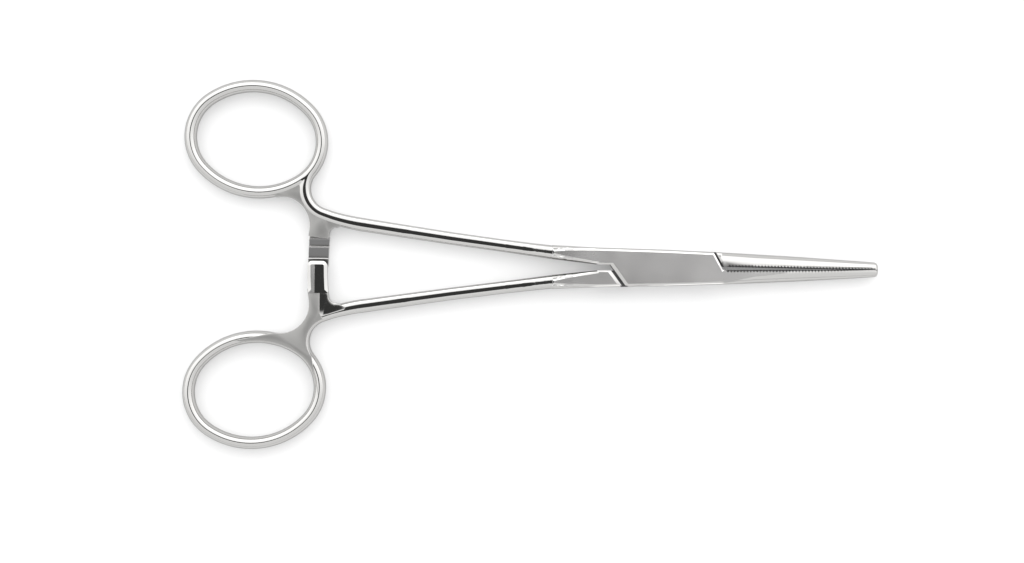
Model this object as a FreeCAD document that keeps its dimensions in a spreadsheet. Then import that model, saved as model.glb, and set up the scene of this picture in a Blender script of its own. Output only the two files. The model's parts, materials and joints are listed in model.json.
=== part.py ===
import FreeCAD, Part
import math
import os
import Sketcher

# Straight hemostat forceps with finger rings, a three-tooth ratchet, a screwless box lock
# and cross-serrated jaws, closed so that the jaw tips just meet.
#
# Each half is built about the box lock: the pivot is the origin, the jaws point along +X, the
# middle plane is Z = 0, and the half's own ring lies at +Y and its own jaw at -Y. The tongue
# half is then turned over about X, which puts its ring at -Y and its ratchet arm on top.

doc = FreeCAD.newDocument("hemostat_forceps")

SIZES = [
    # reach of the rings and jaws from the pivot
    ("ring_reach", 86.5),
    ("ring_spread_angle", 16.95),
    ("jaw_reach", 42.5),
    # finger ring: outer length and width, outer radius of its ends, lean of its long axis, and
    # the bevelled wire's width and height
    ("ring_length", 29.0),
    ("ring_width", 23.8),
    ("ring_end_radius", 10.4),
    ("ring_lean", 7.0),
    ("ring_wire", 2.5),
    ("handle_height", 3.6),
    ("handle_bevel", 0.9),
    # where the blends into the ring leave the shank, behind its rear end, and the ratchet arm,
    # below the corner between both
    ("outer_blend_run", 4.45),
    ("inner_blend_drop", 1.27),
    ("neck_flare", 9.2),
    ("heel_straight", 0.2),
    ("heel_radius", 1.05),
    # shank: its rear end ahead of the ring's front, the other stations behind the pivot, half
    # spacing of the centre lines, widths and heights
    ("neck_ahead_of_ring", 3.74),
    ("neck_spread", 8.66),
    ("neck_width", 2.75),
    ("neck_overlap", 1.0),
    ("neck_step", 0.03),
    ("shank_edge_radius", 1.15),
    ("mid_station", 43.5),
    ("mid_spread", 5.6),
    ("mid_width", 2.5),
    ("mid_height", 3.2),
    ("waist_station", 33.0),
    ("waist_spread", 4.22),
    ("waist_width", 2.5),
    ("waist_height", 3.3),
    ("flat_station", 23.5),
    ("flat_spread", 3.03),
    ("flat_width", 2.8),
    ("root_rise", 0.4),
    # box lock: ground thickness, half widths, corner cuts and their clearances
    ("box_height", 4.5),
    ("box_rear", 14.0),
    ("box_front", 11.0),
    ("box_rear_half_width", 3.98),
    ("box_half_width", 3.65),
    ("box_front_half_width", 3.22),
    ("block_edge_radius", 0.8),
    ("shank_inner_edge", 0.6),
    ("cheek_rear_top", 11.0),
    ("cheek_rear_bottom", 7.9),
    ("cheek_front_top", 9.15),
    ("cheek_front_bottom", 11.2),
    ("shoulder_rear_clearance", 1.05),
    ("shoulder_front_clearance", 0.35),
    ("slot_height", 1.9),
    ("tongue_side_play", 0.05),
    ("slot_end_radius", 10.0),
    ("tongue_end_play", 0.15),
    ("pin_diameter", 2.5),
    ("pin_play", 0.05),
    # jaws: half widths and half heights of the pair at the shoulder, the middle and the tip, and
    # how much flatter the tongue half's jaw is, which isn't ground
    ("jaw_shoulder_station", 17.5),
    ("jaw_shoulder_half_width", 2.92),
    ("jaw_shoulder_half_height", 2.42),
    ("jaw_shoulder_roundness", 2.15),
    ("jaw_mid_station", 27.0),
    ("jaw_mid_half_width", 2.43),
    ("jaw_mid_half_height", 2.18),
    ("jaw_mid_roundness", 2.0),
    ("jaw_tip_half_width", 1.45),
    ("jaw_tip_half_height", 1.2),
    ("jaw_tip_roundness", 1.12),
    ("tongue_jaw_drop", 0.22),
    ("tongue_jaw_root_roundness", 1.7),
    ("jaw_nose_radius", 0.8),
    ("jaw_rear_gap", 0.3),
    ("serration_pitch", 0.65),
    ("serration_depth", 0.36),
    ("serration_play", 0.14),
    # ratchet arm: its middle behind the ring's front, radial width, reach past the middle line
    ("ratchet_behind_ring_front", 1.86),
    ("ratchet_width", 4.0),
    ("ratchet_past_middle", 0.8),
    ("ratchet_gap", 0.2),
    ("ratchet_tip_radius", 1.0),
    ("tooth_pitch", 2.4),
    ("tooth_depth", 0.55),
    ("tooth_count", 3),
    ("tooth_land", 0.96),
]

sheet = doc.addObject("Spreadsheet::Sheet", "sizes")
for row, (alias, number) in enumerate(SIZES, start=1):
    sheet.set(f"A{row}", alias)
    sheet.set(f"B{row}", str(number))
    sheet.setAlias(f"B{row}", alias)
doc.recompute()

# Rear end of the shank behind the pivot.
NECK_STATION = ("(sizes.ring_reach * cos(sizes.ring_spread_angle * 1 deg) - sizes.ring_length / 2"
                " - sizes.neck_ahead_of_ring)")
# The cutters reach this far past the metal that they cut, and the corner cuts this far past the
# ends of the box block.
PAST = 4.0
OVERRUN = 1.0
# On the middle plane.
MIDDLE = "0"
# Half turn about X, which makes the tongue half out of its own frame.
TURNED_OVER = FreeCAD.Rotation(FreeCAD.Vector(1, 0, 0), 180)
# A sketch turned this way has its own x along Y and its own y along Z.
ACROSS = FreeCAD.Rotation(FreeCAD.Vector(1, 1, 1), 120)
# A sketch turned this way stands upright: its own y is along Z.
UPRIGHT = FreeCAD.Rotation(FreeCAD.Vector(1, 0, 0), 90)


def size(alias):
    return float(sheet.get(alias))


def ring_front():
    """How far behind the pivot the finger ring's front lies."""
    return size("ring_reach") * math.cos(math.radians(size("ring_spread_angle"))) - size("ring_length") / 2


def neck_station():
    return ring_front() - size("neck_ahead_of_ring")


def ratchet_radius():
    return ring_front() + size("ratchet_behind_ring_front")


def point(x, y, z=0.0):
    return FreeCAD.Vector(x, y, z)


def bind(thing, sizes):
    for prop, expression in sizes.items():
        thing.setExpression(prop, expression)
    return thing


def add(kind, name, **sizes):
    return bind(doc.addObject(kind, name), sizes)


# Sketches

def polygon_sketch(name, corners):
    """Closed outline in the XY plane; each corner is a pair of expressions on the sheet."""
    sketch = doc.addObject("Sketcher::SketchObject", name)
    count = len(corners)
    for index in range(count):
        angle = 2 * math.pi * index / count
        following = 2 * math.pi * (index + 1) / count
        sketch.addGeometry(Part.LineSegment(
            point(math.cos(angle), math.sin(angle)), point(math.cos(following), math.sin(following))))
    for index in range(count):
        sketch.addConstraint(
            Sketcher.Constraint("Coincident", index, 2, (index + 1) % count, 1))
    for index, (across, up) in enumerate(corners):
        for direction, expression in (("DistanceX", across), ("DistanceY", up)):
            constraint = sketch.addConstraint(
                Sketcher.Constraint(direction, -1, 1, index, 1, 0.1))
            sketch.setExpression(f"Constraints[{constraint}]", expression)
    return sketch


def rounded_sketch(name, offset, width, height, radius):
    """Rounded rectangle, whose middle lies at an offset along the sketch's own x."""
    sketch = doc.addObject("Sketcher::SketchObject", name)
    half, round_off = 2.0, 0.5
    flat = half - round_off
    corners = [(1, -1), (1, 1), (-1, 1), (-1, -1)]
    for index, (right, up) in enumerate(corners):
        start = math.pi / 2 * (index - 1)
        centre = point(right * flat, up * flat)
        sketch.addGeometry(Part.ArcOfCircle(
            Part.Circle(centre, point(0, 0, 1), round_off), start, start + math.pi / 2))
    sides = [((half, -flat), (half, flat)), ((flat, half), (-flat, half)),
             ((-half, flat), (-half, -flat)), ((-flat, -half), (flat, -half))]
    for start, end in sides:
        sketch.addGeometry(Part.LineSegment(point(*start), point(*end)))
    # Arc i ends where side i starts, and side i ends where the next arc starts.
    for index in range(4):
        sketch.addConstraint(Sketcher.Constraint("Tangent", index, 2, 4 + index, 1))
        sketch.addConstraint(Sketcher.Constraint("Tangent", 4 + index, 2, (index + 1) % 4, 1))
    for side in (4, 6):
        sketch.addConstraint(Sketcher.Constraint("Vertical", side))
    for side in (5, 7):
        sketch.addConstraint(Sketcher.Constraint("Horizontal", side))
    for arc in (1, 2, 3):
        sketch.addConstraint(Sketcher.Constraint("Equal", 0, arc))
    dimensions = [
        (Sketcher.Constraint("Radius", 0, round_off), radius),
        (Sketcher.Constraint("DistanceX", -1, 1, 4, 1, half), f"{offset} + ({width}) / 2"),
        (Sketcher.Constraint("DistanceX", 6, 1, 4, 1, 2 * half), width),
        (Sketcher.Constraint("DistanceY", -1, 1, 5, 1, half), f"({height}) / 2"),
        (Sketcher.Constraint("DistanceY", 7, 1, 5, 1, 2 * half), height),
    ]
    for constraint, expression in dimensions:
        number = sketch.addConstraint(constraint)
        sketch.setExpression(f"Constraints[{number}]", expression)
    return sketch


def shank_section(name, station, spread, width, height, radius):
    """Section across the shank, at a station behind the pivot."""
    sketch = rounded_sketch(name, spread, width, height, radius)
    sketch.Placement = FreeCAD.Placement(point(0, 0), ACROSS)
    sketch.setExpression("Placement.Base.x", f"-({station})")
    return sketch


def extrusion(name, sketch, height):
    """The sketch raised to the given height, half of it each side of the middle plane."""
    solid = add("Part::Extrusion", name, LengthFwd=height)
    solid.Base = sketch
    solid.DirMode = "Custom"
    solid.Dir = point(0, 0, 1)
    solid.Symmetric = True
    solid.Solid = True
    return solid


def fuse(name, pieces):
    joined = doc.addObject("Part::MultiFuse", name)
    joined.Shapes = pieces
    return joined


def cut(name, base, tool):
    result = doc.addObject("Part::Cut", name)
    result.Base = base
    result.Tool = tool
    return result


# Finger ring and neck: the ring is an oval of four arcs of bevelled wire, and a plate with the
# same bevels runs into it by two blends

def ring_axes():
    """Centre of the finger ring, and the directions of its long and short axes."""
    spread = math.radians(size("ring_spread_angle"))
    lean = math.radians(size("ring_lean"))
    centre = point(-math.cos(spread), math.sin(spread)) * size("ring_reach")
    return centre, point(math.cos(lean), -math.sin(lean)), point(math.sin(lean), math.cos(lean))


def ring_arcs():
    """Offsets of the arcs' centres along both axes, the side arcs' outer radius, and half the
    angle that an end arc takes up."""
    half_length, half_width = size("ring_length") / 2, size("ring_width") / 2
    end_radius = size("ring_end_radius")
    along = half_length - end_radius
    side_radius = (along ** 2 + half_width ** 2 - end_radius ** 2) / (2 * (half_width - end_radius))
    across = side_radius - half_width
    return along, across, side_radius, math.degrees(math.atan2(across, along))


def wire_section(name):
    """Section of the ring's wire: a rectangle with four bevelled corners."""
    side, side_end = "sizes.ring_wire / 2", "(sizes.handle_height / 2 - sizes.handle_bevel)"
    crest, crest_end = "sizes.handle_height / 2", "(sizes.ring_wire / 2 - sizes.handle_bevel)"
    return polygon_sketch(name, [
        (side, "-" + side_end), (side, side_end), (crest_end, crest), ("-" + crest_end, crest),
        ("-" + side, side_end), ("-" + side, "-" + side_end),
        ("-" + crest_end, "-" + crest), (crest_end, "-" + crest),
    ])


def ring_arc(name, centre, outer_radius, start, sweep):
    """A length of the wire, turned about an upright axis through a centre."""
    turn = FreeCAD.Rotation(point(0, 0, 1), start)
    section = wire_section(name + "_section")
    middle = centre + turn.multVec(point(outer_radius - size("ring_wire") / 2, 0))
    section.Placement = FreeCAD.Placement(middle, turn * UPRIGHT)
    arc = doc.addObject("Part::Revolution", name)
    arc.Source = section
    arc.Base = centre
    arc.Axis = point(0, 0, 1)
    arc.Angle = sweep
    arc.Solid = True
    return arc


def finger_ring(prefix):
    centre, long_axis, short_axis = ring_axes()
    along, across, side_radius, half_end = ring_arcs()
    lean = size("ring_lean")
    end_radius = size("ring_end_radius")
    half_side = 90 - half_end
    return [
        ring_arc(prefix + "_ring_front", centre + long_axis * along, end_radius,
                 -half_end - lean, 2 * half_end),
        ring_arc(prefix + "_ring_outside", centre - short_axis * across, side_radius,
                 90 - half_side - lean, 2 * half_side),
        ring_arc(prefix + "_ring_back", centre - long_axis * along, end_radius,
                 180 - half_end - lean, 2 * half_end),
        ring_arc(prefix + "_ring_inside", centre + short_axis * across, side_radius,
                 270 - half_side - lean, 2 * half_side),
    ]


def blend_radius(foot, normal, arc_centre, arc_radius):
    """Radius of the blend that leaves a straight edge at its foot and touches an arc."""
    away = foot - arc_centre
    return (away.dot(away) - arc_radius ** 2) / (2 * (arc_radius - away.dot(normal)))


def touching_arc(centre, radius, start, end):
    middle = ((start - centre) + (end - centre)).normalize() * radius + centre
    return Part.Arc(start, middle, end).toShape()


def neck_plate():
    centre, long_axis, short_axis = ring_axes()
    along, across, side_radius, _ = ring_arcs()
    end_radius = size("ring_end_radius")
    front, side = centre + long_axis * along, centre + short_axis * across
    slope = (size("neck_spread") - size("mid_spread")) / (neck_station() - size("mid_station"))
    back = point(-1, slope).normalize()
    out = point(slope, 1).normalize()
    end = point(-neck_station(), size("neck_spread"))
    end_out = end + point(0, size("neck_width") / 2)
    end_in = end - point(0, size("neck_width") / 2)
    arm_back = ratchet_radius() + size("ratchet_width") / 2
    arm_edge = end_in + back * (arm_back - end_in.Length)

    # The outer edge turns towards the ring's middle where it leaves the shank.
    flare = FreeCAD.Rotation(point(0, 0, 1), -size("neck_flare"))
    flared_back = flare.multVec(back)
    flared_out = flare.multVec(out)
    outer_foot = end_out + flared_back * size("outer_blend_run")
    outer_radius = blend_radius(outer_foot, flared_out, front, end_radius)
    outer_centre = outer_foot + flared_out * outer_radius
    inner_foot = arm_edge - out * size("inner_blend_drop")
    inner_radius = blend_radius(inner_foot, back, side, side_radius)
    inner_centre = inner_foot + back * inner_radius
    to_front = (front - outer_centre).normalize()
    to_side = (side - inner_centre).normalize()
    outer_touch = outer_centre + to_front * outer_radius
    inner_touch = inner_centre + to_side * inner_radius
    outer_in_wire = outer_touch + to_front * (size("ring_wire") / 2)
    inner_in_wire = inner_touch + to_side * (size("ring_wire") / 2)

    # The heel turns from the arm's edge, which runs along `out`, to the shank's inner edge.
    heel_radius = size("heel_radius")
    heel_up = inner_foot - out * size("heel_straight")
    heel_centre = heel_up - back * heel_radius
    to_end = end_in - heel_centre
    leave = math.acos(heel_radius / to_end.Length)
    heel_in = heel_centre + FreeCAD.Rotation(point(0, 0, 1), -math.degrees(leave)).multVec(
        to_end.normalize() * heel_radius)

    outline = Part.Wire([
        touching_arc(outer_centre, outer_radius, outer_touch, outer_foot),
        Part.makeLine(outer_foot, end_out),
        Part.makeLine(end_out, end_in),
        Part.makeLine(end_in, heel_in),
        touching_arc(heel_centre, heel_radius, heel_in, heel_up),
        Part.makeLine(heel_up, inner_foot),
        touching_arc(inner_centre, inner_radius, inner_foot, inner_touch),
        Part.makeLine(inner_touch, inner_in_wire),
        Part.makeLine(inner_in_wire, outer_in_wire),
        Part.makeLine(outer_in_wire, outer_touch),
    ])
    height = size("handle_height")
    plate = Part.Face(outline).extrude(point(0, 0, height))
    plate.translate(point(0, 0, -height / 2))

    outer_rim = outline.Edges[0:2]
    inner_rim = outline.Edges[3:7]
    bevelled = [bevel_rim(plate, rim, height / 2, size("handle_bevel"))
                for rim in (outer_rim, inner_rim)]
    return bevelled[0].common(bevelled[1])


def bevel_rim(plate, rim, half_height, depth):
    """Bevels the top and bottom edges of a plate that lie over the given edges of its outline."""
    places = []
    for edge in rim:
        middle = edge.valueAt((edge.FirstParameter + edge.LastParameter) / 2)
        places += [middle + point(0, 0, half_height), middle - point(0, 0, half_height)]
    chosen = [edge for edge in plate.Edges
              if min((edge.valueAt((edge.FirstParameter + edge.LastParameter) / 2) - place).Length
                     for place in places) < 1e-4]
    return plate.makeChamfer(depth, chosen)


# Ratchet arm: a strip that runs in an arc about the pivot, below the middle plane

def ratchet_arm():
    radius = ratchet_radius()
    half = size("ratchet_width") / 2
    end = -size("ratchet_past_middle")
    floor = -size("box_height") / 2
    root_floor = -size("handle_height") / 2 + size("handle_bevel") / 4
    crest = -size("ratchet_gap") / 2
    valley = crest - size("tooth_depth")
    pitch = size("tooth_pitch")
    count = int(size("tooth_count"))
    root = size("neck_spread") + size("neck_width") / 2
    side = [point(0, end, floor), point(0, end, valley)]
    for tooth in range(count):
        side.append(point(0, end + pitch * (tooth + 1), crest))
        side.append(point(0, end + pitch * (tooth + 1), valley))
    shoulder = end + pitch * count + size("tooth_land")
    side.append(point(0, shoulder, valley))
    side.append(point(0, shoulder, 0))
    side.append(point(0, root, 0))
    side.append(point(0, root, root_floor))
    side.append(point(0, shoulder - pitch / 2, floor))
    profile = Part.Face(Part.makePolygon(side + side[:1])).extrude(point(-radius - PAST * half, 0, 0))

    strip = Part.makeCylinder(radius + half, size("box_height"), point(0, 0, floor))
    strip = strip.cut(Part.makeCylinder(radius - half, size("box_height"), point(0, 0, floor)))
    window = Part.makeBox(radius, root - end, size("box_height"),
                          point(-radius - PAST * half, end, floor))
    strip = strip.common(window)
    corners = [edge for edge in strip.Edges
               if edge.BoundBox.ZLength > half and edge.BoundBox.YMax < end + half / 2]
    strip = strip.makeFillet(size("ratchet_tip_radius"), corners)
    return strip.common(profile)


# Jaws: the pair is one tapering cone with a rounded nose, split along the mating faces

def jaw_section(name, station, half_width, half_height, roundness):
    section = rounded_sketch(name, MIDDLE, f"2 * {half_width}",
                             f"2 * {half_height}", roundness)
    section.Placement = FreeCAD.Placement(point(0, 0), ACROSS)
    section.setExpression("Placement.Base.x", station)
    return section


def jaw_cone(prefix, drop, root_roundness):
    """Cone of the pair, lower than the box by the drop as far as its middle."""
    cone = doc.addObject("Part::Loft", prefix + "_jaw_cone")
    cone.Sections = [
        jaw_section(prefix + "_jaw_root", "sizes.box_front", "sizes.box_front_half_width",
                    f"((sizes.box_height + sizes.root_rise) / 2 - {drop})",
                    root_roundness),
        jaw_section(prefix + "_jaw_shoulder", "sizes.jaw_shoulder_station",
                    "sizes.jaw_shoulder_half_width", f"(sizes.jaw_shoulder_half_height - {drop})",
                    f"(sizes.jaw_shoulder_roundness - {drop} / 2)"),
        jaw_section(prefix + "_jaw_middle", "sizes.jaw_mid_station", "sizes.jaw_mid_half_width",
                    f"(sizes.jaw_mid_half_height - {drop} / 2)",
                    f"(sizes.jaw_mid_roundness - {drop} / 2)"),
        jaw_section(prefix + "_jaw_tip", "sizes.jaw_reach", "sizes.jaw_tip_half_width",
                    "sizes.jaw_tip_half_height", "sizes.jaw_tip_roundness"),
    ]
    cone.Ruled = True
    cone.Solid = True
    doc.recompute()
    nose = doc.addObject("Part::Fillet", prefix + "_jaw_nose")
    nose.Base = cone
    tip = size("jaw_reach")
    radius = size("jaw_nose_radius")
    nose.Edges = [(number, radius, radius)
                  for number, edge in enumerate(cone.Shape.Edges, start=1)
                  if min(vertex.X for vertex in edge.Vertexes) > tip - 0.01]
    return nose


def mating_offset():
    """Height of the teeth's crests over the middle line, at the tip: half in mesh."""
    return (size("serration_depth") - size("serration_play")) / 2


def serration_comb(phase):
    """The space over a jaw's mating face, with its teeth hanging down into the grooves."""
    pitch = size("serration_pitch")
    depth = size("serration_depth")
    start = size("cheek_front_bottom") + size("shoulder_front_clearance")
    end = size("jaw_reach")
    low, high = -size("jaw_rear_gap"), mating_offset()
    run = end - start

    def crest(station):
        return low + (high - low) * (station - start) / run

    top = size("box_half_width") + PAST
    teeth = math.ceil(run / pitch)
    first = start + pitch * (0.5 + phase)
    outline = [point(start, top), point(start, crest(start)), point(first, crest(first))]
    for tooth in range(teeth):
        groove = first + pitch * (tooth + 0.5)
        following = first + pitch * (tooth + 1)
        outline.append(point(groove, crest(groove) - depth))
        outline.append(point(following, crest(following)))
    outline.append(point(outline[-1].x, top))
    face = Part.Face(Part.makePolygon(outline + outline[:1]))
    face.translate(point(0, 0, -PAST))
    return face.extrude(point(0, 0, 2 * PAST))


def computed(name, shape):
    solid = doc.addObject("Part::Feature", name)
    solid.Shape = shape
    return solid


def blank(prefix, jaw_drop, jaw_root_roundness):
    """What both halves share: ring, neck, ratchet arm, shank, box block and jaw cone."""
    flat = shank_section(prefix + "_flat_section", "sizes.flat_station", "sizes.flat_spread",
                         "sizes.flat_width", "sizes.box_height", "sizes.shank_edge_radius")
    shank = doc.addObject("Part::Loft", prefix + "_shank")
    shank.Sections = [
        shank_section(prefix + "_neck_section", NECK_STATION + " + sizes.neck_overlap",
                      "sizes.neck_spread", "sizes.neck_width - 2 * sizes.neck_step",
                      "sizes.handle_height - 2 * sizes.neck_step", "sizes.shank_edge_radius"),
        shank_section(prefix + "_mid_section", "sizes.mid_station", "sizes.mid_spread",
                      "sizes.mid_width", "sizes.mid_height", "sizes.shank_edge_radius"),
        shank_section(prefix + "_waist_section", "sizes.waist_station", "sizes.waist_spread",
                      "sizes.waist_width", "sizes.waist_height", "sizes.shank_edge_radius"),
        flat,
    ]
    shank.Ruled = True
    shank.Solid = True
    root = doc.addObject("Part::Loft", prefix + "_shank_root")
    root.Sections = [
        flat,
        shank_section(prefix + "_root_section", "sizes.box_rear",
                      "(sizes.box_rear_half_width + sizes.shank_inner_edge) / 2",
                      "sizes.box_rear_half_width - sizes.shank_inner_edge",
                      "sizes.box_height + sizes.root_rise", "sizes.block_edge_radius"),
    ]
    root.Ruled = True
    root.Solid = True

    block_outline = polygon_sketch(prefix + "_block_outline", [
        ("-sizes.box_rear", "sizes.box_rear_half_width"),
        ("-sizes.box_rear", "-sizes.box_rear_half_width"),
        (MIDDLE, "-sizes.box_half_width"),
        ("sizes.box_front", "-sizes.box_front_half_width"),
        ("sizes.box_front", "sizes.box_front_half_width"),
        (MIDDLE, "sizes.box_half_width"),
    ])
    block = extrusion(prefix + "_block", block_outline, "sizes.box_height + sizes.root_rise")
    doc.recompute()
    softened = doc.addObject("Part::Fillet", prefix + "_block_rounded")
    softened.Base = block
    radius = size("block_edge_radius")
    softened.Edges = [(number, radius, radius)
                      for number, edge in enumerate(block.Shape.Edges, start=1)
                      if edge.BoundBox.ZLength < 1e-6 and edge.BoundBox.XLength > 1e-6]
    return finger_ring(prefix) + [
        computed(prefix + "_neck", neck_plate()),
        computed(prefix + "_arm", ratchet_arm()),
        shank,
        root,
        softened,
        jaw_cone(prefix, jaw_drop, jaw_root_roundness),
    ]


# Corner cuts, which free each half for the other: the rear one clears the other shank, and the
# front one clears the other jaw

def drum(name, radius, height):
    disc = add("Part::Cylinder", name, Radius=radius, Height=height)
    disc.setExpression("Placement.Base.z", f"-({height}) / 2")
    return disc


def tall(name, corners):
    """A cutter through the full height."""
    outline = polygon_sketch(name + "_outline", corners)
    return extrusion(name, outline, f"sizes.box_height + {PAST}")


FAR = f"(sizes.box_half_width + {PAST})"
REAR_LEAN = ("((sizes.cheek_rear_top - sizes.cheek_rear_bottom)"
             " / (sizes.box_half_width + sizes.shank_inner_edge))")
FRONT_LEAN = "((sizes.cheek_front_bottom - sizes.cheek_front_top) / sizes.box_half_width)"


def box_half():
    """The half whose two cheeks close round the tongue."""
    whole = fuse("box_blank", blank("box", MIDDLE, "sizes.block_edge_radius"))
    rear = tall("box_rear_corner", [
        (f"-sizes.box_rear - {OVERRUN}", "sizes.shank_inner_edge"),
        (f"-sizes.box_rear - {OVERRUN}", f"-{FAR}"),
        (f"-sizes.cheek_rear_top + {REAR_LEAN} * ({FAR} + sizes.shank_inner_edge)", f"-{FAR}"),
        ("-sizes.cheek_rear_top", "sizes.shank_inner_edge"),
    ])
    front = tall("box_front_corner", [
        ("sizes.cheek_front_bottom", "-sizes.jaw_rear_gap"),
        (f"sizes.box_front + {OVERRUN}", "-sizes.jaw_rear_gap"),
        (f"sizes.box_front + {OVERRUN}", FAR),
        (f"sizes.cheek_front_bottom - {FRONT_LEAN} * {FAR}", FAR),
    ])
    comb = computed("box_serrations", serration_comb(0))
    slot = drum("slot_turning_space", "sizes.slot_end_radius", "sizes.slot_height")
    passage_front = add("Part::Box", "jaw_passage",
                        Length="sizes.cheek_front_bottom", Width=FAR,
                        Height="sizes.slot_height")
    bind(passage_front, {"Placement.Base.y": "-sizes.jaw_rear_gap",
                         "Placement.Base.z": "-sizes.slot_height / 2"})
    passage_rear = add("Part::Box", "shank_passage",
                       Length="sizes.box_rear", Width=f"{FAR} + sizes.shank_inner_edge",
                       Height="sizes.slot_height")
    bind(passage_rear, {"Placement.Base.x": "-sizes.box_rear",
                        "Placement.Base.y": f"-{FAR}",
                        "Placement.Base.z": "-sizes.slot_height / 2"})
    bore = drum("cheek_bore", "sizes.pin_diameter / 2", f"sizes.box_height + {PAST}")
    return cut("box_cut", whole, fuse("box_cutters", [
        rear, front, comb, slot, passage_front, passage_rear, bore]))


def tongue_half():
    """The half whose thin tongue passes through the slot."""
    whole = fuse("tongue_blank", blank("tongue", "sizes.tongue_jaw_drop",
                                         "sizes.tongue_jaw_root_roundness"))
    turning = drum("tongue_turning_space", "sizes.slot_end_radius - sizes.tongue_end_play",
                   f"2 * sizes.box_height + {PAST}")
    rear_space = tall("tongue_rear_space", [
        (f"-sizes.box_rear - {OVERRUN}", "sizes.shank_inner_edge"),
        (f"-sizes.box_rear - {OVERRUN}", f"-{FAR}"),
        (MIDDLE, f"-{FAR}"),
        (MIDDLE, "sizes.shank_inner_edge"),
    ])
    front_space = tall("tongue_front_space", [
        (MIDDLE, "-sizes.jaw_rear_gap"),
        (f"sizes.box_front + {OVERRUN}", "-sizes.jaw_rear_gap"),
        (f"sizes.box_front + {OVERRUN}", FAR),
        (MIDDLE, FAR),
    ])
    corners = cut("tongue_corners", fuse("tongue_corner_spaces", [rear_space, front_space]), turning)

    rear_foot = "(sizes.cheek_rear_top + sizes.shoulder_rear_clearance)"
    front_foot = "(sizes.cheek_front_bottom + sizes.shoulder_front_clearance)"
    cheeks = tall("cheek_space", [
        (f"-{rear_foot} + {REAR_LEAN} * {FAR}", FAR),
        (f"-{rear_foot}", MIDDLE),
        (f"-{rear_foot}", f"-{FAR}"),
        (f"{front_foot} - {FRONT_LEAN} * {FAR}", f"-{FAR}"),
        (front_foot, MIDDLE),
        (front_foot, FAR),
    ])
    tongue_height = "(sizes.slot_height - 2 * sizes.tongue_side_play)"
    middle = add("Part::Box", "tongue_thickness",
                 Length="2 * sizes.box_rear + 2 * sizes.box_front", Width=f"4 * {FAR}",
                 Height=tongue_height)
    bind(middle, {"Placement.Base.x": "-2 * sizes.box_rear",
                  "Placement.Base.y": f"-2 * {FAR}",
                  "Placement.Base.z": f"-{tongue_height} / 2"})
    above_and_below = cut("above_and_below_tongue", cheeks, middle)
    comb = computed("tongue_serrations", serration_comb(0.5))
    bore = drum("tongue_bore", "sizes.pin_diameter / 2 + sizes.pin_play",
                f"sizes.box_height + {PAST}")
    return cut("tongue_cut", whole, fuse("tongue_cutters", [
        corners, above_and_below, comb, bore]))


def ground(name, half):
    """Both sides ground flat: nothing stands over the box lock's height."""
    wheel = add("Part::Box", name + "_ground_height",
                Length="2 * sizes.ring_reach + 2 * sizes.jaw_reach", Width="2 * sizes.ring_reach",
                Height="sizes.box_height")
    bind(wheel, {"Placement.Base.x": "-sizes.ring_reach - sizes.jaw_reach",
                 "Placement.Base.y": "-sizes.ring_reach",
                 "Placement.Base.z": "-sizes.box_height / 2"})
    result = doc.addObject("Part::Common", name)
    result.Base = half
    result.Tool = wheel
    return result


def lock_pin():
    """The pivot pin, pressed into the cheeks and ground flush with them."""
    body = doc.addObject("PartDesign::Body", "lock_pin")
    circle = body.newObject("Sketcher::SketchObject", "pin_circle")
    plane = [origin for origin in body.Origin.OriginFeatures if origin.Role == "XY_Plane"][0]
    circle.AttachmentSupport = [(plane, "")]
    circle.MapMode = "FlatFace"
    circle.addGeometry(Part.Circle(point(0, 0), point(0, 0, 1), 1.0))
    circle.addConstraint(Sketcher.Constraint("Coincident", 0, 3, -1, 1))
    across = circle.addConstraint(Sketcher.Constraint("Diameter", 0, 2.0))
    circle.setExpression(f"Constraints[{across}]", "sizes.pin_diameter")
    shaft = body.newObject("PartDesign::Pad", "pin_shaft")
    shaft.Profile = circle
    shaft.SideType = "Symmetric"
    shaft.setExpression("Length", "sizes.box_height")
    return body


def rear_reach():
    """How far the finger ring reaches behind the pivot."""
    lean = math.radians(size("ring_lean"))
    half = math.hypot(size("ring_length") / 2 * math.cos(lean), size("ring_width") / 2 * math.sin(lean))
    return -ring_axes()[0].x + half


NODES = {
    "box_lock_half": ground("box_ground", box_half()),
    "tongue_half": ground("tongue_ground", tongue_half()),
    "box_lock_pin": lock_pin(),
}
pivot_ahead = (rear_reach() - size("jaw_reach")) / 2
for label, node in NODES.items():
    turn = TURNED_OVER if label == "tongue_half" else FreeCAD.Rotation()
    node.Placement = FreeCAD.Placement(point(pivot_ahead, 0), turn)
    node.setExpression("Placement.Base.z", "sizes.box_height / 2")
    node.Label = label
doc.recompute()

for thing in doc.Objects:
    if "Invalid" in thing.State or "Error" in thing.State:
        raise RuntimeError(f"{thing.Name} didn't build: {thing.State}")
for label, node in NODES.items():
    if node.Shape.isNull() or not node.Shape.isValid() or len(node.Shape.Solids) != 1:
        raise RuntimeError(f"{label} isn't one valid solid")

os.makedirs("parts", exist_ok=True)
for label, node in NODES.items():
    node.Shape.exportStep(f"parts/{label}.step")
    print(f"{label}: {node.Shape.Volume:.1f} mm3")
print(f"pivot at x = {pivot_ahead:.3f}, z = {size('box_height') / 2:.3f}")
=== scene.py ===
import json
import logging
import math
from dataclasses import dataclass, field
from enum import Enum

import bmesh
import bpy
from mathutils import Matrix, Vector


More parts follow.
